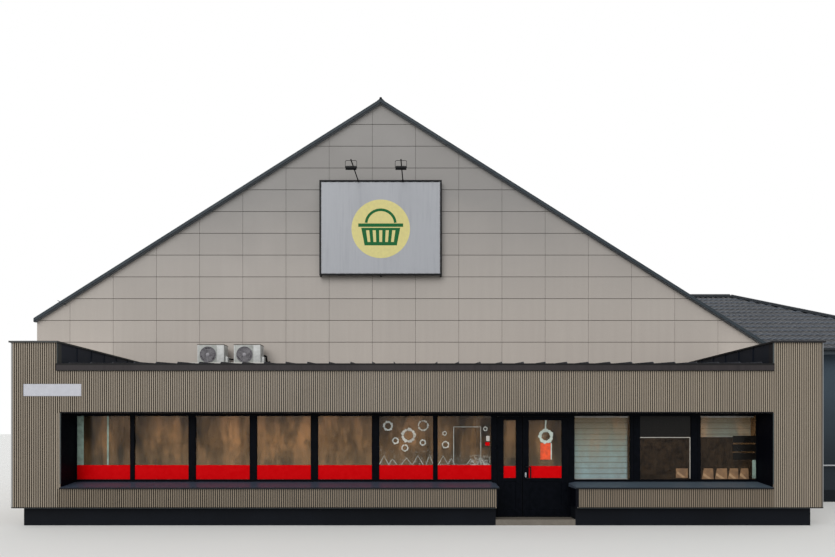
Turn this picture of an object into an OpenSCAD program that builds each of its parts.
// Supermarket building: a gabled sales hall, a low shop front before its gable
// and a hipped wing at its right-hand side.
// Millimetres. X runs along the front, Y away from it and Z up from the lowest ground.
// X is first measured from a setting-out line in the front, Y from the ribbed face.

/* [Shop front] */
// Left corner, out from the setting-out line
shop_left = 8460; // [8300:10:8900]
// Right corner, out from the setting-out line
shop_right = 8680; // [8500:10:9100]
// Depth from the ribbed face to the gable
shop_depth = 3227; // [2900:1:3600]
// Width of the raised end at the left
end_w_left = 970; // [850:10:1100]
// Width of the raised end at the right
end_w_right = 1050; // [900:10:1150]
// Height of the caps on the raised ends
parapet_top = 3920; // [3880:10:4100]
// Height of the ribbed fascia between the raised ends
fascia_top = 3310; // [3250:10:3360]
// Height of the coping on the fascia
coping_h = 135; // [110:5:160]
// Depth of the coping, and of the trims on the raised ends
coping_d = 130; // [100:5:150]
// Thickness of the sheet that caps the raised ends
cap_t = 35; // [20:1:50]
// How far copings, caps and sill noses stand out
nose_out = 30; // [20:1:40]
// Thickness of the ribbed cladding
rib_t = 25; // [18:1:35]
// Thickness of the side walls
side_wall_t = 350; // [280:10:400]
// Slope of the shop roof, in degrees
shop_slope = 6; // [4:0.5:7]
// Thickness of the shop roof
shop_roof_t = 150; // [120:5:170]
// Height of a standing seam on the shop roof
seam_h = 45; // [30:1:50]
// Width of a standing seam
seam_w = 12; // [8:1:16]
// Spacing of the standing seams
seam_pitch = 464; // [400:1:600]

/* [Base] */
// Height of the plinth under the ribbed cladding
plinth_h = 393; // [340:1:420]
// How far the plinth stands back from the ribbed faces
plinth_back = 150; // [120:5:180]
// Height of the floor, and of the step at the door
floor_h = 125; // [100:5:150]

/* [Window band] */
// Height of the opening's head
head_h = 2400; // [2350:5:2500]
// Height of the aprons under the sills
apron_h = 800; // [760:5:830]
// Height of a sill's front nose
nose_h = 30; // [20:1:40]
// Rise of a sill from its nose to the window
sill_rise = 73; // [50:1:90]
// Depth of the reveal, from the ribbed face to the frames
reveal_d = 450; // [400:5:500]
// Thickness of the lining sheets in the opening
lining_t = 4; // [2:0.5:6]
// Step from the raised end to the opening at the left
jamb_left = 70; // [50:5:90]
// Step from the raised end to the opening at the right
jamb_right = 10; // [10:5:40]
// Depth of the window and door frames
frame_d = 80; // [70:2:100]
// Height of the frames' bottom rail over the sill
rail_low = 43; // [30:1:60]
// Height of the frames' top rail
rail_top = 40; // [30:1:60]
// Number of panes left of the door
panes_left = 7; // [7:1:7]
// Width of a narrow mullion, inside a pair of panes
mullion_slim = 90; // [60:5:110]
// Width of a wide mullion, between two units
mullion_wide = 150; // [120:5:170]
// Outside width of the opening light in the right-hand row
vent_w = 1546; // [1450:2:1600]
// Width of the opening light's sash
vent_sash = 208; // [180:2:220]
// Thickness of the glass
glass_t = 24; // [20:1:32]
// How far the glass stands back in its frame
glass_in = 22; // [16:1:30]
// How far the short blind hangs down
short_blind = 450; // [300:10:900]

/* [Door set] */
// Left edge of the door frame, from the setting-out line
door_x = 1760; // [1700:10:1850]
// Overall width of the door frame
door_w = 1813; // [1790:1:1900]
// Width of the left post
post_left = 120; // [100:2:130]
// Width of the right post
post_right = 128; // [118:2:140]
// Width of the narrow leaf
narrow_w = 545; // [520:5:600]
// Clearance round the leaves
leaf_gap = 5; // [5:0.5:7]
// Gap between the two leaves
meeting_gap = 12; // [12:1:16]
// Thickness of the leaves
leaf_t = 70; // [60:1:74]
// Width of the wide leaf's stiles
stile_wide = 128; // [110:2:140]
// Width of the narrow leaf's stiles
stile_narrow = 130; // [110:2:140]
// Height of the doors' bottom rail
kick_h = 133; // [110:1:150]
// Height of the middle rail's underside, from the floor
mid_rail_z = 795; // [760:5:820]
// Height of the middle rail
mid_rail_h = 57; // [50:1:70]
// Height of the doors' top rail
door_top_rail = 75; // [60:1:90]
// Radius of a hinge barrel
barrel_r = 8; // [6:0.5:8]
// Distance from a leaf's face to the axis of its hinges
hinge_out = 13; // [13:0.5:16]

/* [Hall] */
// Left wall's face, out from the setting-out line
hall_left = 10490; // [10200:10:10900]
// Right wall's face, out from the setting-out line
hall_right = 9980; // [9800:10:10200]
// Length from the gable to the rear wall's face
hall_len = 21744; // [19000:1:24000]
// Distance of the ridge, left of the setting-out line
ridge_left = 870; // [700:10:1000]
// Height of the ridge
ridge_h = 11350; // [11200:10:11600]
// Slope of the tiled roofs, in degrees
pitch = 32.3; // [31.5:0.1:33]
// Thickness of the tiled roofs, measured plumb
roof_t = 165; // [140:5:190]
// Overhang of the roof at the gables
verge_out = 80; // [60:5:120]
// Thickness of the verge trims
verge_t = 20; // [15:1:30]
// Overhang of the left eave
eave_left = 20; // [15:5:60]
// Overhang of the right eave
eave_right = 50; // [30:5:70]
// Thickness of the hall's walls
wall_t = 300; // [250:10:360]
// Thickness of the facing panels
panel_t = 30; // [20:1:40]
// Width of the joint between facing panels
joint_w = 8; // [6:1:12]
// Height of the panel joint level with the shop roof
joint_z = 3293; // [3280:1:3305]
// Left edge of the inner doorway, from the setting-out line
inner_door_x = 1800; // [1600:10:2200]
// Width of the inner doorway
inner_door_w = 1200; // [1000:10:1600]
// Height of the inner doorway's head
inner_door_h = 2400; // [2200:10:2600]
// Thickness of the ridge caps
ridge_cap_t = 25; // [15:1:35]
// Reach of a ridge cap down each slope, measured level
ridge_cap_w = 160; // [120:5:200]

/* [Wing] */
// Right eave, out from the setting-out line
wing_right = 15840; // [15600:10:16400]
// Depth of the wing, from eave to eave
wing_depth = 8372; // [8000:1:8800]
// Overhang of the wing's eaves
wing_eave = 400; // [360:10:450]
// Thickness of the wing's walls
wing_wall_t = 300; // [250:10:350]
// Distance of the wing opening from the front eave
wing_opening_y = 1600; // [1300:10:2000]
// Width of the opening between hall and wing
wing_opening_w = 5000; // [4000:10:5400]
// Height of that opening's head
wing_opening_h = 2700; // [2500:10:3000]
// Diameter of the gutters
gutter_w = 120; // [100:5:150]
// Height of the rail on the wing's front wall
rail_h = 1050; // [900:10:1150]

/* [Sign] */
// Left edge of the sign, from the setting-out line
sign_x = -2560; // [-2700:10:-2400]
// Width of the sign's frame
sign_w = 3385; // [3200:5:3600]
// Height of the sign's lower edge
sign_z = 6334; // [6100:2:6500]
// Height of the sign's frame
sign_h = 2629; // [2400:1:2800]
// Size of the frame's square tube
sign_tube = 40; // [30:2:60]
// Distance between the frame and the wall
sign_off = 120; // [80:5:160]

// Reach of the lamps' arms in front of the sign
lamp_reach = 1000; // [800:10:1200]
// Width of a lamp's head
lamp_w = 280; // [240:10:340]
// Height of a lamp's head
lamp_h = 100; // [80:5:120]
// Distance from an arm down to the middle of its lamp
lamp_drop = 200; // [160:10:260]

/* [Cooling units] */
// Width of a unit
ac_w = 720; // [680:5:760]
// Height of a unit
ac_h = 550; // [500:5:600]
// Depth of a unit
ac_d = 290; // [250:5:320]
// Left edge of the first unit, from the setting-out line
ac_x = -5820; // [-6200:10:-5500]
// Distance from one unit to the next
ac_step = 1005; // [950:5:1100]
// Distance between the units' backs and the wall
ac_off = 157; // [120:5:200]
// Height of the units' undersides over the roof's seams at their backs
ac_lift = 2; // [2:1:40]
// Diameter of the fan opening
fan_d = 410; // [380:5:430]

/* [Hidden] */
$fn = 48;

// Cutters run this far past what they cut
past = 20;
// Running clearance of a soft piece from what holds it
soft_gap = 0.3;
// Play between the two halves of a hinge
hinge_play = 0.3;
// Bedding between a sloped face and what stands or lies against it
bed = 0.3;

// Shop front, from left to right
shop_x0 = -shop_left;
shop_x1 = shop_right;
end_x0 = shop_x0 + end_w_left;
end_x1 = shop_x1 - end_w_right;
open_x0 = end_x0 + jamb_left;
open_x1 = end_x1 - jamb_right;
core_x0 = shop_x0 + rib_t;
core_x1 = shop_x1 - rib_t;
room_x0 = core_x0 + side_wall_t;
room_x1 = core_x1 - side_wall_t;
base_x0 = shop_x0 + plinth_back;
base_x1 = shop_x1 - plinth_back;

// Shop front, from the ribbed face back
gable_y = shop_depth;
wall_y = gable_y + panel_t;
front_in = reveal_d + frame_d;

// Shop front, upwards
sill_top = apron_h + nose_h + sill_rise;
glass_z0 = sill_top + rail_low;
glass_z1 = head_h - rail_top;
cap_z = parapet_top - cap_t;
coping_top = fascia_top + coping_h;
roof_front_z = fascia_top + shop_roof_t;
shop_t = tan(shop_slope);
function shop_roof_z(y) = roof_front_z + (y - coping_d) * shop_t;

// Door set: how far each apron stands in front of the frame, how far each sill stands past
// its apron, and the frame's threshold and head
apron_lap = [33, 73];
sill_lap = [51, 45];
threshold_h = 17;
head_rail = 53;
leaf_out = 5;
door_x1 = door_x + door_w;
apron_x0 = door_x + apron_lap[0];
apron_x1 = door_x1 - apron_lap[1];
sill_x0 = apron_x0 + sill_lap[0];
sill_x1 = apron_x1 - sill_lap[1];
narrow_x0 = door_x + post_left + leaf_gap;
narrow_x1 = narrow_x0 + narrow_w;
wide_x0 = narrow_x1 + meeting_gap;
wide_x1 = door_x1 - post_right - leaf_gap;
leaf_y = reveal_d - leaf_out;
leaf_z0 = floor_h + threshold_h + leaf_gap;
leaf_z1 = head_h - head_rail - leaf_gap;
mid_z0 = floor_h + mid_rail_z;
mid_z1 = mid_z0 + mid_rail_h;
door_glass_z1 = leaf_z1 - door_top_rail;
axis_y = leaf_y - hinge_out;
wide_axis_x = wide_x1 + leaf_gap / 2;
narrow_axis_x = narrow_x0 - leaf_gap / 2;
// Distances of the hinges from the leaves' lower and upper edges, and the length of half a barrel
hinge_low = 203;
hinge_mid = 672;
hinge_high = 172;
hinge_heights = [leaf_z0 + hinge_low, leaf_z1 - hinge_mid, leaf_z1 - hinge_high];
barrel_l = 50;

// Panes: [left edge, right edge] of each, from the frames' rule of equal panes
left_mullions = [mullion_slim, mullion_wide, mullion_wide, mullion_wide, mullion_wide, mullion_slim];
function sum_to(v, n) = n <= 0 ? 0 : v[n - 1] + sum_to(v, n - 1);
pane_left = (door_x - open_x0 - sum_to(left_mullions, panes_left - 1)) / panes_left;
pane_right = (open_x1 - door_x1 - vent_w) / 2;
vent_x = door_x1 + pane_right;
panes_l = [for (i = [0:panes_left - 1])
    let (x = open_x0 + i * pane_left + sum_to(left_mullions, i)) [x, x + pane_left]];
panes_r = [[door_x1, vent_x], [vent_x + vent_sash, vent_x + vent_w - vent_sash],
    [vent_x + vent_w, open_x1]];
frame_edge = 12;

// Hall
tan_p = tan(pitch);
ridge_x = -ridge_left;
hall_x0 = -hall_left;
hall_x1 = hall_right;
rear_y = gable_y + hall_len;
roof_y0 = gable_y - verge_out;
roof_y1 = rear_y + verge_out;
apex = ridge_h - ridge_cap_t;
eave_x0 = hall_x0 - eave_left;
eave_x1 = hall_x1 + eave_right;
function roof_top(x) = apex - abs(x - ridge_x) * tan_p;
function roof_under(x) = roof_top(x) - roof_t;
function wall_top(x) = roof_under(x) - bed;

// Wing
eave_y0 = roof_y0;
eave_y1 = eave_y0 + wing_depth;
wing_run = wing_depth / 2;
wing_mid = eave_y0 + wing_run;
wing_eave_z = roof_top(eave_x1);
wing_top = wing_eave_z + wing_run * tan_p;
wing_y0 = eave_y0 + wing_eave;
wing_y1 = eave_y1 - wing_eave;
wing_x1 = wing_right - wing_eave;
wing_wall_z = wing_eave_z - roof_t + wing_eave * tan_p;
gap_y0 = eave_y0 + wing_opening_y;
gap_y1 = gap_y0 + wing_opening_w;

// Sign and cooling units
sign_y1 = gable_y - sign_off;
sign_y0 = sign_y1 - sign_tube;
sign_x1 = sign_x + sign_w;
sign_z1 = sign_z + sign_h;
ac_y1 = gable_y - ac_off;
ac_y0 = ac_y1 - ac_d;
ac_z0 = shop_roof_z(ac_y1) + seam_h + ac_lift;

// The footprint's middle, which becomes the origin
foot_x = (eave_x0 + wing_right + gutter_w) / 2;
foot_y = (roof_y1 + verge_t - nose_out) / 2;

module place() translate([-foot_x, -foot_y, 0]) children();

// A block between two limits along each axis
module block(x, y, z) translate([x[0], y[0], z[0]]) cube([x[1] - x[0], y[1] - y[0], z[1] - z[0]]);

// An outline in X and Z, carried from one Y to another
module along_y(y0, y1) translate([0, y1, 0]) rotate([90, 0, 0]) linear_extrude(y1 - y0) children();

// An outline in Y and Z, carried from one X to another
module along_x(x0, x1) translate([x0, 0, 0]) rotate([90, 0, 90]) linear_extrude(x1 - x0) children();

module shop_floor() color("gray") place() {
    block([base_x0 + plinth_back, base_x1 - plinth_back], [front_in, wall_y], [0, floor_h]);
    block([apron_x0, apron_x1], [plinth_back, front_in], [0, floor_h]);
}

// The plinth's left or right half, an L beside the doorway
module plinth_half(x_out, x_in, x_door) {
    block([min(x_out, x_door), max(x_out, x_door)], [plinth_back, front_in], [0, plinth_h]);
    block([min(x_out, x_in), max(x_out, x_in)], [front_in, wall_y], [0, plinth_h]);
}

// The space that the door frame takes up between the aprons
module frame_niche() block([door_x, door_x1], [reveal_d, front_in + past], [floor_h, head_h]);

module shop_plinth() color("#17191e") place() difference() {
    union() {
        plinth_half(base_x0, base_x0 + plinth_back, apron_x0);
        plinth_half(base_x1, base_x1 - plinth_back, apron_x1);
    }
    frame_niche();
}

// A side wall, stepped where the gable's facing panels start
module side_wall(x_out, x_in) {
    block([min(x_out, x_in), max(x_out, x_in)], [front_in, wall_y], [plinth_h, joint_z]);
    block([min(x_out, x_in), max(x_out, x_in)], [front_in, gable_y], [joint_z, cap_z]);
}

module shop_side_walls() color("#2d2f39") place() {
    side_wall(core_x0, room_x0);
    side_wall(core_x1, room_x1);
}

// A boxed kerb on the shop roof, which makes the raised end as wide as its front
module kerb(x_wall, x_end) along_x(min(x_wall, x_end), max(x_wall, x_end))
    polygon([[front_in, shop_roof_z(front_in)], [gable_y, shop_roof_z(gable_y)],
        [gable_y, cap_z], [front_in, cap_z]]);

kerb_x0 = end_x0 - lining_t;
kerb_x1 = end_x1 + lining_t;

module parapet_kerbs() color("#2d2f39") place() {
    kerb(room_x0, kerb_x0);
    kerb(room_x1, kerb_x1);
}

// A front pier: full height at the raised end, with a step to the opening's jamb
module pier(x_out, x_end, x_jamb) {
    block([min(x_out, x_end), max(x_out, x_end)], [rib_t, front_in], [plinth_h, cap_z]);
    block([min(x_end, x_jamb), max(x_end, x_jamb)], [rib_t, front_in], [apron_h, head_h + lining_t]);
}

module front_piers() color("#2d2f39") place() {
    pier(core_x0, kerb_x0, open_x0 - lining_t);
    pier(core_x1, kerb_x1, open_x1 + lining_t);
}

module front_lintel() color("#3a3d44") place()
    block([kerb_x0, kerb_x1], [rib_t, front_in], [head_h + lining_t, fascia_top]);

module apron_walls() color("#3a3d44") place() difference() {
    union() {
        block([kerb_x0, apron_x0 - lining_t], [rib_t, front_in], [plinth_h, apron_h]);
        block([apron_x1 + lining_t, kerb_x1], [rib_t, front_in], [plinth_h, apron_h]);
    }
    frame_niche();
}

// The ribbed front of a raised end, with the strip beside the opening
module end_sheet(x_out, x_end, x_open) {
    block([min(x_out, x_end), max(x_out, x_end)], [0, rib_t], [plinth_h, cap_z]);
    block([min(x_end, x_open), max(x_end, x_open)], [0, rib_t], [apron_h, head_h]);
}

module end_cladding() color("#72675a") place() {
    end_sheet(shop_x0, end_x0, open_x0);
    end_sheet(shop_x1, end_x1, open_x1);
}

module side_cladding() color("#72675a") place()
    for (x = [[shop_x0, core_x0], [core_x1, shop_x1]])
        block(x, [rib_t, gable_y], [plinth_h, cap_z]);

module fascia_cladding() color("#746a60") place()
    block([end_x0, end_x1], [0, rib_t], [head_h, fascia_top]);

module apron_cladding() color("#62584c") place() {
    block([end_x0, apron_x0], [0, rib_t], [plinth_h, apron_h]);
    block([apron_x1, end_x1], [0, rib_t], [plinth_h, apron_h]);
}

// Dark sheets on the opening's soffit and jambs, and on the aprons' ends at the door
module opening_lining() color("#06080e") place() {
    difference() {
        block([open_x0 - lining_t, open_x1 + lining_t], [rib_t, reveal_d],
            [sill_top, head_h + lining_t]);
        block([open_x0, open_x1], [rib_t - past, reveal_d + past], [sill_top - past, head_h]);
    }
    block([apron_x0 - lining_t, apron_x0], [rib_t, reveal_d], [plinth_h, apron_h]);
    block([apron_x1, apron_x1 + lining_t], [rib_t, reveal_d], [plinth_h, apron_h]);
}

// A sill: a sheet-metal wedge whose slope turns the corner at the door in a mitre
module sill(x_wall, x_door) {
    way = x_door > x_wall ? 1 : -1;
    run = reveal_d + nose_out;
    intersection() {
        along_x(min(x_wall, x_door), max(x_wall, x_door))
            polygon([[-nose_out, apron_h], [-nose_out, apron_h + nose_h], [reveal_d, sill_top],
                [front_in, sill_top], [front_in, apron_h]]);
        along_y(-nose_out - past, front_in + past)
            polygon([[x_door, apron_h], [x_door, apron_h + nose_h], [x_door - way * run, sill_top],
                [x_wall, sill_top], [x_wall, apron_h]]);
    }
}

module window_sills() color("#3b3f49") place() difference() {
    union() {
        sill(open_x0, sill_x0);
        sill(open_x1, sill_x1);
    }
    frame_niche();
}

module front_coping() color("#393735") place()
    along_x(end_x0, end_x1)
        polygon([[-nose_out, fascia_top - 20], [-nose_out, coping_top], [coping_d, coping_top],
            [coping_d, fascia_top], [0, fascia_top], [0, fascia_top - 20]]);

// A cap over a raised end with the trim strip down its inner front corner
module parapet_cap(x_out, x_end) {
    way = x_end > x_out ? 1 : -1;
    block([min(x_out - way * nose_out, x_end + way * nose_out),
        max(x_out - way * nose_out, x_end + way * nose_out)],
        [-nose_out, gable_y], [cap_z, parapet_top]);
    block([min(x_end, x_end - way * lining_t), max(x_end, x_end - way * lining_t)],
        [rib_t, coping_d], [coping_top, cap_z]);
}

module parapet_caps() color("#393735") place() {
    parapet_cap(shop_x0, end_x0);
    parapet_cap(shop_x1, end_x1);
}

// Seamed sheets on the inner faces of the raised ends, over the shop roof
module parapet_sheet(x, way) {
    seams = floor((gable_y - coping_d) / seam_pitch);
    along_x(min(x, x - way * lining_t), max(x, x - way * lining_t))
        polygon([[coping_d, shop_roof_z(coping_d)], [gable_y, shop_roof_z(gable_y)],
            [gable_y, cap_z], [coping_d, cap_z]]);
    for (i = [1:seams]) let (y = coping_d + i * seam_pitch)
        along_x(min(x, x + way * 18), max(x, x + way * 18))
            polygon([[y, shop_roof_z(y) + seam_h + 5], [y + seam_w, shop_roof_z(y) + seam_h + 5],
                [y + seam_w, cap_z], [y, cap_z]]);
}

module parapet_panels() color("#2d2f39") place() {
    parapet_sheet(end_x0, 1);
    parapet_sheet(end_x1, -1);
}

// The deck rises to the gable, with standing seams down its slope
module shop_roof() color("#3b3d42") place() {
    under = fascia_top + (gable_y - front_in) * shop_t;
    clear = [end_x0 + 60, end_x1 - 60];
    count = floor((clear[1] - clear[0]) / seam_pitch);
    first = (clear[0] + clear[1] - count * seam_pitch) / 2;
    along_x(room_x0, room_x1)
        polygon([[front_in, fascia_top], [gable_y, under], [gable_y, shop_roof_z(gable_y)],
            [front_in, shop_roof_z(front_in)]]);
    along_x(end_x0, end_x1)
        polygon([[coping_d, fascia_top], [front_in, fascia_top], [front_in, shop_roof_z(front_in)],
            [coping_d, roof_front_z]]);
    for (i = [0:count]) along_x(first + i * seam_pitch, first + i * seam_pitch + seam_w)
        polygon([[coping_d, roof_front_z - 5], [gable_y, shop_roof_z(gable_y) - 5],
            [gable_y, shop_roof_z(gable_y) + seam_h], [coping_d + 60, shop_roof_z(coping_d + 60) + seam_h],
            [coping_d, roof_front_z]]);
}

// A row of frames: one bar grid with a hole for each pane, and a rebate round each hole
module frame_row(x0, x1, panes) difference() {
    block([x0, x1], [reveal_d, front_in], [sill_top, head_h]);
    for (p = panes) {
        block([p[0] == x0 ? x0 + frame_edge : p[0], p[1] == x1 ? x1 - frame_edge : p[1]],
            [reveal_d - past, front_in + past], [glass_z0, glass_z1]);
    }
}

module window_frames() color("#0d0f14") place() {
    frame_row(open_x0, door_x, panes_l);
    difference() {
        frame_row(door_x1, open_x1, panes_r);
        vent_groove();
    }
}

// The shadow groove between the opening light's sash and its frame
module vent_groove() {
    groove = 8;
    inset = 60;
    difference() {
        block([vent_x + inset, vent_x + vent_w - inset], [reveal_d - past, reveal_d + groove],
            [glass_z0 - 30, glass_z1 + 28]);
        block([vent_x + inset + groove, vent_x + vent_w - inset - groove],
            [reveal_d - past, reveal_d + groove + past], [glass_z0 - 30 + groove, glass_z1 + 28 - groove]);
    }
}

module window_glass() color([0.45, 0.35, 0.25, 0.5]) place()
    for (row = [[open_x0, door_x, panes_l], [door_x1, open_x1, panes_r]]) for (p = row[2])
        block([p[0] == row[0] ? p[0] + frame_edge : p[0], p[1] == row[1] ? p[1] - frame_edge : p[1]],
            [reveal_d + glass_in, reveal_d + glass_in + glass_t], [glass_z0, glass_z1]);

// One half of a hinge: a barrel on the axis and the flap that joins it to its carrier
flap_near = 4.5;
flap_far = 42;

module knuckle(axis_x, way, z0, z1, carrier_y = reveal_d) {
    near = axis_x + way * flap_near;
    far = axis_x + way * flap_far;
    translate([axis_x, axis_y, z0]) cylinder(r = barrel_r, h = z1 - z0);
    block([min(near, far), max(near, far)], [axis_y, carrier_y], [z0, z1]);
}

module door_frame() color("#0d0f14") place() {
    difference() {
        block([door_x, door_x1], [reveal_d, front_in], [floor_h, head_h]);
        block([door_x + post_left, door_x1 - post_right], [reveal_d - past, front_in + past],
            [floor_h + threshold_h, leaf_z1 + leaf_gap]);
    }
    for (z = hinge_heights) {
        knuckle(wide_axis_x, 1, z - barrel_l, z - hinge_play);
        knuckle(narrow_axis_x, -1, z - barrel_l, z - hinge_play);
    }
}

// A leaf: stiles and rails round the glass, a panel set back below the middle rail,
// and its halves of the hinges
module leaf(x0, x1, stile, axis_x, way) {
    panel_in = 14;
    difference() {
        block([x0, x1], [leaf_y, leaf_y + leaf_t], [leaf_z0, leaf_z1]);
        block([x0 + stile, x1 - stile], [leaf_y - past, leaf_y + leaf_t + past],
            [mid_z1, door_glass_z1]);
        block([x0 + stile, x1 - stile], [leaf_y - past, leaf_y + panel_in],
            [leaf_z0 + kick_h, mid_z0]);
    }
    for (z = hinge_heights) knuckle(axis_x, -way, z, z + barrel_l, leaf_y);
}

module leaf_glass(x0, x1, stile)
    block([x0 + stile, x1 - stile], [leaf_y + glass_in, leaf_y + glass_in + glass_t],
        [mid_z1, door_glass_z1]);

module door_wide_leaf() color("#0d0f14") place() leaf(wide_x0, wide_x1, stile_wide, wide_axis_x, 1);

module door_wide_glass() color([0.45, 0.35, 0.25, 0.5]) place() leaf_glass(wide_x0, wide_x1, stile_wide);

module door_narrow_leaf() color("#0d0f14") place()
    leaf(narrow_x0, narrow_x1, stile_narrow, narrow_axis_x, -1);

module door_narrow_glass() color([0.45, 0.35, 0.25, 0.5]) place()
    leaf_glass(narrow_x0, narrow_x1, stile_narrow);

// A pull handle: two arms from the stile reach out and across to an upright grip
pull_h = 286;
pull_lift = 44;
pull_out = 60;
pull_side = 100;
pull_r = 11;
rose_r = 16;
rose_t = 8;

module door_wide_handle() color("#15161a") place() {
    foot_at = wide_x0 + stile_wide / 2;
    grip_x = foot_at + pull_side;
    grip_y = leaf_y - pull_out;
    z0 = mid_z0 + pull_lift;
    z1 = z0 + pull_h;
    r = pull_r;
    for (z = [z0 + r, z1 - r]) {
        translate([foot_at, leaf_y, z]) rotate([90, 0, 0]) cylinder(r = rose_r, h = rose_t);
        translate([foot_at, leaf_y, z]) rotate([90, 0, 0]) cylinder(r = r, h = pull_out);
        translate([foot_at, grip_y, z]) rotate([0, 90, 0]) cylinder(r = r, h = grip_x - foot_at);
        translate([foot_at, grip_y, z]) sphere(r = r);
        translate([grip_x, grip_y, z]) sphere(r = r);
    }
    translate([grip_x, grip_y, z0 + r]) cylinder(r = r, h = z1 - z0 - 2 * r);
}

// The panes that have a blind: [pane, height that it hangs down]
blind_list = [[panes_r[0], glass_z1 - glass_z0 + 10], [panes_r[2], short_blind]];
box_h = 80;
box_d = 60;
blind_y = front_in + 28;

module blind_boxes() color("silver") place()
    for (b = blind_list)
        block([b[0][0] + 20, b[0][1] - 20], [front_in, front_in + box_d], [head_h - box_h, head_h]);

module blinds() color("#71715f") place()
    for (b = blind_list)
        block([b[0][0] + 35, b[0][1] - 35], [blind_y, blind_y + 4],
            [head_h - box_h - b[1] + 30, head_h - box_h - soft_gap]);

// The outline of the hall's end, under the roof and between two limits along X
module end_outline(x0, x1, z0) polygon(concat(
    [[x0, z0], [x1, z0], [x1, wall_top(x1)]],
    x0 < ridge_x && x1 > ridge_x ? [[ridge_x, wall_top(ridge_x)]] : [],
    [[x0, wall_top(x0)]]));

module gable_walls() color("gray") place() {
    along_y(wall_y, wall_y + wall_t) end_outline(hall_x0 + panel_t, inner_door_x, 0);
    along_y(wall_y, wall_y + wall_t)
        end_outline(inner_door_x + inner_door_w, hall_x1 - panel_t, 0);
}

module inner_lintels() color("gray") place() {
    along_y(wall_y, wall_y + wall_t)
        end_outline(inner_door_x, inner_door_x + inner_door_w, inner_door_h);
    along_y(gap_y0, gap_y1)
        polygon([[hall_x1 - wall_t, wing_opening_h], [hall_x1, wing_opening_h],
            [hall_x1, wall_top(hall_x1)], [hall_x1 - wall_t, wall_top(hall_x1 - wall_t)]]);
}

// Facing panels over the shop roof, and down both sides of the shop front
module gable_panels() color("#9a928c") place() {
    along_y(gable_y, wall_y) end_outline(hall_x0, hall_x1, joint_z + joint_w / 2);
    block([hall_x0, shop_x0], [gable_y, wall_y], [0, joint_z - joint_w / 2]);
    block([shop_x1, hall_x1], [gable_y, wall_y], [0, joint_z - joint_w / 2]);
}

// A side wall of the hall between two limits along Y
module hall_side(x_out, x_in, y0, y1) along_y(y0, y1)
    polygon([[x_out, 0], [x_in, 0], [x_in, wall_top(x_in)], [x_out, wall_top(x_out)]]);

hall_in_y0 = wall_y + wall_t;
hall_in_y1 = rear_y - panel_t - wall_t;

module hall_wall_left() color("gray") place()
    hall_side(hall_x0 + panel_t, hall_x0 + panel_t + wall_t, hall_in_y0, hall_in_y1);

// The right wall, open to the wing; its outer face is bare inside the wing
module hall_wall_right() color("gray") place() {
    hall_side(hall_x1, hall_x1 - wall_t, hall_in_y0, gap_y0);
    hall_side(hall_x1, hall_x1 - wall_t, gap_y1, wing_y1);
    hall_side(hall_x1 - panel_t, hall_x1 - wall_t, wing_y1, hall_in_y1);
}

module rear_wall() color("gray") place()
    along_y(hall_in_y1, rear_y - panel_t) end_outline(hall_x0 + panel_t, hall_x1 - panel_t, 0);

// Facing panels on the hall's left, rear and right walls, open at the corner joints
module side_panels() color("#9a928c") place() {
    hall_side(hall_x0, hall_x0 + panel_t, wall_y + joint_w, rear_y - panel_t - joint_w);
    along_y(rear_y - panel_t, rear_y) end_outline(hall_x0, hall_x1, 0);
    hall_side(hall_x1, hall_x1 - panel_t, wing_y1, rear_y - panel_t - joint_w);
}

// One slab through the hall, the opening and the wing
module hall_floor() color("gray") place() {
    block([hall_x0 + panel_t + wall_t, hall_x1 - wall_t], [hall_in_y0, hall_in_y1], [0, floor_h]);
    block([inner_door_x, inner_door_x + inner_door_w], [wall_y, hall_in_y0], [0, floor_h]);
    block([hall_x1 - wall_t, hall_x1], [gap_y0, gap_y1], [0, floor_h]);
    block([hall_x1, wing_x1 - wing_wall_t], [wing_y0 + wing_wall_t, wing_y1 - wing_wall_t],
        [0, floor_h]);
}

// A slope of the main roof, cut plumb at ridge and eave
module hall_slope(x_eave) along_y(roof_y0, roof_y1)
    polygon([[ridge_x, roof_top(ridge_x)], [x_eave, roof_top(x_eave)], [x_eave, roof_under(x_eave)],
        [ridge_x, roof_under(ridge_x)]]);

module hall_roof_left() color("#4c5054") place() hall_slope(eave_x0);

module hall_roof_right() color("#4c5054") place() hall_slope(eave_x1);

// A cap's outline over a ridge at the middle of its axis
module cap_outline(c, z) polygon([
    [c - ridge_cap_w, z + bed - ridge_cap_w * tan_p], [c, z + bed],
    [c + ridge_cap_w, z + bed - ridge_cap_w * tan_p],
    [c + ridge_cap_w, z - ridge_cap_w * tan_p + ridge_cap_t], [c, z + ridge_cap_t],
    [c - ridge_cap_w, z - ridge_cap_w * tan_p + ridge_cap_t]]);

module ridge_caps() color("#33363a") place() {
    along_y(roof_y0, roof_y1) cap_outline(ridge_x, apex);
    difference() {
        along_x(eave_x1 - wing_run, wing_right - wing_run) cap_outline(wing_mid, wing_top);
        under_main_roof();
    }
}

// Trims that cover the roof's edge on both gables
module verge(y0, y1) along_y(y0, y1) polygon([
    [eave_x0, roof_under(eave_x0)], [ridge_x, roof_under(ridge_x)], [eave_x1, roof_under(eave_x1)],
    [eave_x1, roof_top(eave_x1)], [ridge_x, roof_top(ridge_x)], [eave_x0, roof_top(eave_x0)]]);

module verge_trims() color("#33363a") place() {
    verge(roof_y0 - verge_t, roof_y0);
    verge(roof_y1, roof_y1 + verge_t);
}

// All the space under the main roof's upper faces
module under_main_roof() along_y(eave_y0 - wing_run, eave_y1 + wing_run)
    polygon([[eave_x0, 0], [eave_x1, 0], [eave_x1, wing_eave_z], [ridge_x, apex],
        [eave_x0, roof_top(eave_x0)]]);

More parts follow.
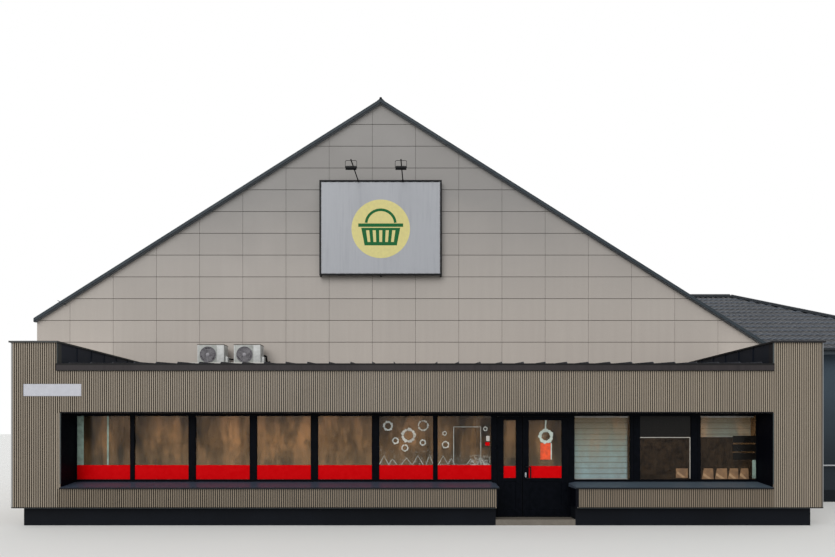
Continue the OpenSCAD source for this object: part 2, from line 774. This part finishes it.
// The wing's plan, cut into what drains to the front, the rear and the end
module wing_plan(part) linear_extrude(ridge_h) polygon(
    part == "front" ? [[ridge_x, eave_y0], [wing_right, eave_y0], [wing_right - wing_run, wing_mid],
        [ridge_x, wing_mid]]
    : part == "rear" ? [[ridge_x, eave_y1], [wing_right, eave_y1], [wing_right - wing_run, wing_mid],
        [ridge_x, wing_mid]]
    : [[wing_right, eave_y0], [wing_right, eave_y1], [wing_right - wing_run, wing_mid]]);

// A sloped slab outline that rises by the run of the wing from an eave at a to a ridge at b
module slope_outline(a, b) polygon([[a, wing_eave_z - roof_t], [b, wing_top - roof_t], [b, wing_top],
    [a, wing_eave_z]]);

module wing_roof_front() color("#4c5054") place() difference() {
    intersection() {
        along_x(ridge_x, wing_right) slope_outline(eave_y0, wing_mid);
        wing_plan("front");
    }
    under_main_roof();
}

module wing_roof_rear() color("#4c5054") place() difference() {
    intersection() {
        along_x(ridge_x, wing_right) slope_outline(eave_y1, wing_mid);
        wing_plan("rear");
    }
    under_main_roof();
}

module wing_roof_end() color("#4c5054") place() intersection() {
    along_y(eave_y0, eave_y1) slope_outline(wing_right, wing_right - wing_run);
    wing_plan("end");
}

module wing_long_walls() color("#323d46") place() difference() {
    for (y = [wing_y0, wing_y1 - wing_wall_t])
        block([hall_x1, wing_x1], [y, y + wing_wall_t], [0, wing_wall_z]);
    main_eave();
}

// The strip of the main roof that reaches over the wing's walls
module main_eave() along_y(roof_y0, roof_y1)
    polygon([[hall_x1 - past, wall_top(hall_x1 - past)], [eave_x1, wall_top(eave_x1)],
        [eave_x1, wing_wall_z + past], [hall_x1 - past, wing_wall_z + past]]);

module wing_end_wall() color("#323d46") place()
    block([wing_x1 - wing_wall_t, wing_x1], [wing_y0 + wing_wall_t, wing_y1 - wing_wall_t],
        [0, wing_wall_z]);

// A half-round gutter along an edge: a trough outline carried along the eave
module trough() difference() {
    circle(d = gutter_w);
    circle(d = gutter_w - 8);
    translate([-gutter_w, 0]) square([2 * gutter_w, gutter_w]);
}

module gutters() color("#33363a") place() {
    drop = 45;
    z = wing_eave_z - drop;
    along_x(eave_x1, wing_right) translate([eave_y0 - gutter_w / 2, z]) trough();
    along_x(eave_x1 + gutter_w, wing_right) translate([eave_y1 + gutter_w / 2, z]) trough();
    along_y(eave_y0, eave_y1) translate([wing_right + gutter_w / 2, z]) trough();
    along_y(eave_y1 + gutter_w + past, roof_y1) translate([eave_x1 + gutter_w / 2, z]) trough();
}

// A round rail on brackets along the wing's front wall
rail_d = 48;
rail_out = 90;
rail_inset = 100;
bracket_d = 20;
bracket_inset = 150;
brackets = 5;

module wing_rail() color("silver") place() {
    x0 = hall_x1 + rail_inset;
    x1 = wing_x1 - rail_inset;
    pitch_x = (x1 - x0 - 2 * bracket_inset) / (brackets - 1);
    translate([x0, wing_y0 - rail_out, rail_h]) rotate([0, 90, 0]) cylinder(d = rail_d, h = x1 - x0);
    for (i = [0:brackets - 1]) translate([x0 + bracket_inset + i * pitch_x, wing_y0, rail_h])
        rotate([90, 0, 0]) cylinder(d = bracket_d, h = rail_out);
}

// A frame of square tube, held off the wall by short stays
module sign_frame() color("#2b2b2d") place() {
    difference() {
        block([sign_x, sign_x1], [sign_y0, sign_y1], [sign_z, sign_z1]);
        block([sign_x + sign_tube, sign_x1 - sign_tube], [sign_y0 - past, sign_y1 + past],
            [sign_z + sign_tube, sign_z1 - sign_tube]);
    }
    for (x = [sign_x, (sign_x + sign_x1 - sign_tube) / 2, sign_x1 - sign_tube])
        for (z = [sign_z, sign_z1 - sign_tube])
            block([x, x + sign_tube], [sign_y1, gable_y], [z, z + sign_tube]);
}

module sign_banner() color("white") place() {
    in = sign_tube + soft_gap;
    block([sign_x + in, sign_x1 - in], [sign_y0 + 12, sign_y0 + 22], [sign_z + in, sign_z1 - in]);
}

// Places of the lamps' arms along the sign
lamp_at = [1070, 2306];

// A flood lamp: a straight arm from the sign's top rail, a yoke at its end and a
// head that hangs in the yoke
module lamp(x) {
    z = sign_z1 - sign_tube / 2;
    y = sign_y0 - lamp_reach;
    yoke = lamp_w / 2 + 6;
    translate([x, sign_y0, z]) rotate([90, 0, 0]) cylinder(d = 24, h = lamp_reach);
    block([x - yoke, x + yoke], [y, y + 24], [z - 3, z + 3]);
    for (side = [-1, 1]) let (a = x + side * yoke, b = x + side * (yoke - 6))
        block([min(a, b), max(a, b)], [y, y + 24], [z - lamp_drop, z - 3]);
    block([x - yoke + 6, x + yoke - 6], [y - 20, y + 50],
        [z - lamp_drop - lamp_h / 2, z - lamp_drop + lamp_h / 2]);
}

module sign_lamps() color("#1f2023") place() for (a = lamp_at) lamp(sign_x + a);

// A cooling unit: a casing with a round fan opening, its guard and a cover over the valves
fan_at = 0.4;
cover_w = 75;

module ac_unit(x) {
    fan_x = x + fan_at * ac_w;
    fan_z = ac_z0 + ac_h / 2;
    rings = 6;
    difference() {
        block([x, x + ac_w], [ac_y0, ac_y1], [ac_z0, ac_z0 + ac_h]);
        translate([fan_x, ac_y0 + 60, fan_z]) rotate([90, 0, 0]) cylinder(d = fan_d, h = 60 + past);
    }
    translate([fan_x, ac_y0 + 14, fan_z]) rotate([90, 0, 0]) {
        for (i = [0:rings - 1]) let (d = fan_d - 50 - i * 58) difference() {
            cylinder(d = d, h = 6);
            translate([0, 0, -past]) cylinder(d = d - 8, h = 3 * past);
        }
        for (a = [0:45:135]) rotate([0, 0, a]) translate([-fan_d / 2 - 1, -3, 0])
            cube([fan_d + 2, 6, 6]);
    }
    translate([fan_x, ac_y0 + 60, fan_z]) rotate([90, 0, 0]) cylinder(d = 90, h = 30);
    block([x + ac_w, x + ac_w + cover_w], [ac_y0 + 60, ac_y1 - 30], [ac_z0 + 40, ac_z0 + 230]);
}

module ac_units() color("#9b9c9d") place() for (i = [0, 1]) ac_unit(ac_x + i * ac_step);

// Feet cut to the roof's slope
foot_w = 50;
foot_out = 20;

module ac_fittings() color("#1f2023") place() for (i = [0, 1]) for (f = [0.15, 0.75])
    along_x(ac_x + i * ac_step + f * ac_w, ac_x + i * ac_step + f * ac_w + foot_w)
        polygon([[ac_y0 - foot_out, shop_roof_z(ac_y0 - foot_out) + bed],
            [ac_y1 + foot_out, shop_roof_z(ac_y1 + foot_out) + bed],
            [ac_y1 + foot_out, ac_z0], [ac_y0 - foot_out, ac_z0]]);

shop_floor();
shop_plinth();
shop_side_walls();
parapet_kerbs();
front_piers();
front_lintel();
apron_walls();
end_cladding();
side_cladding();
fascia_cladding();
apron_cladding();
opening_lining();
window_sills();
front_coping();
parapet_caps();
parapet_panels();
shop_roof();
window_frames();
window_glass();
door_frame();
door_wide_leaf();
door_wide_glass();
door_wide_handle();
door_narrow_leaf();
door_narrow_glass();
blind_boxes();
blinds();
gable_walls();
inner_lintels();
gable_panels();
hall_wall_left();
hall_wall_right();
rear_wall();
side_panels();
hall_floor();
hall_roof_left();
hall_roof_right();
ridge_caps();
verge_trims();
gutters();
wing_long_walls();
wing_end_wall();
wing_roof_front();
wing_roof_rear();
wing_roof_end();
wing_rail();
sign_frame();
sign_banner();
sign_lamps();
ac_units();
ac_fittings();
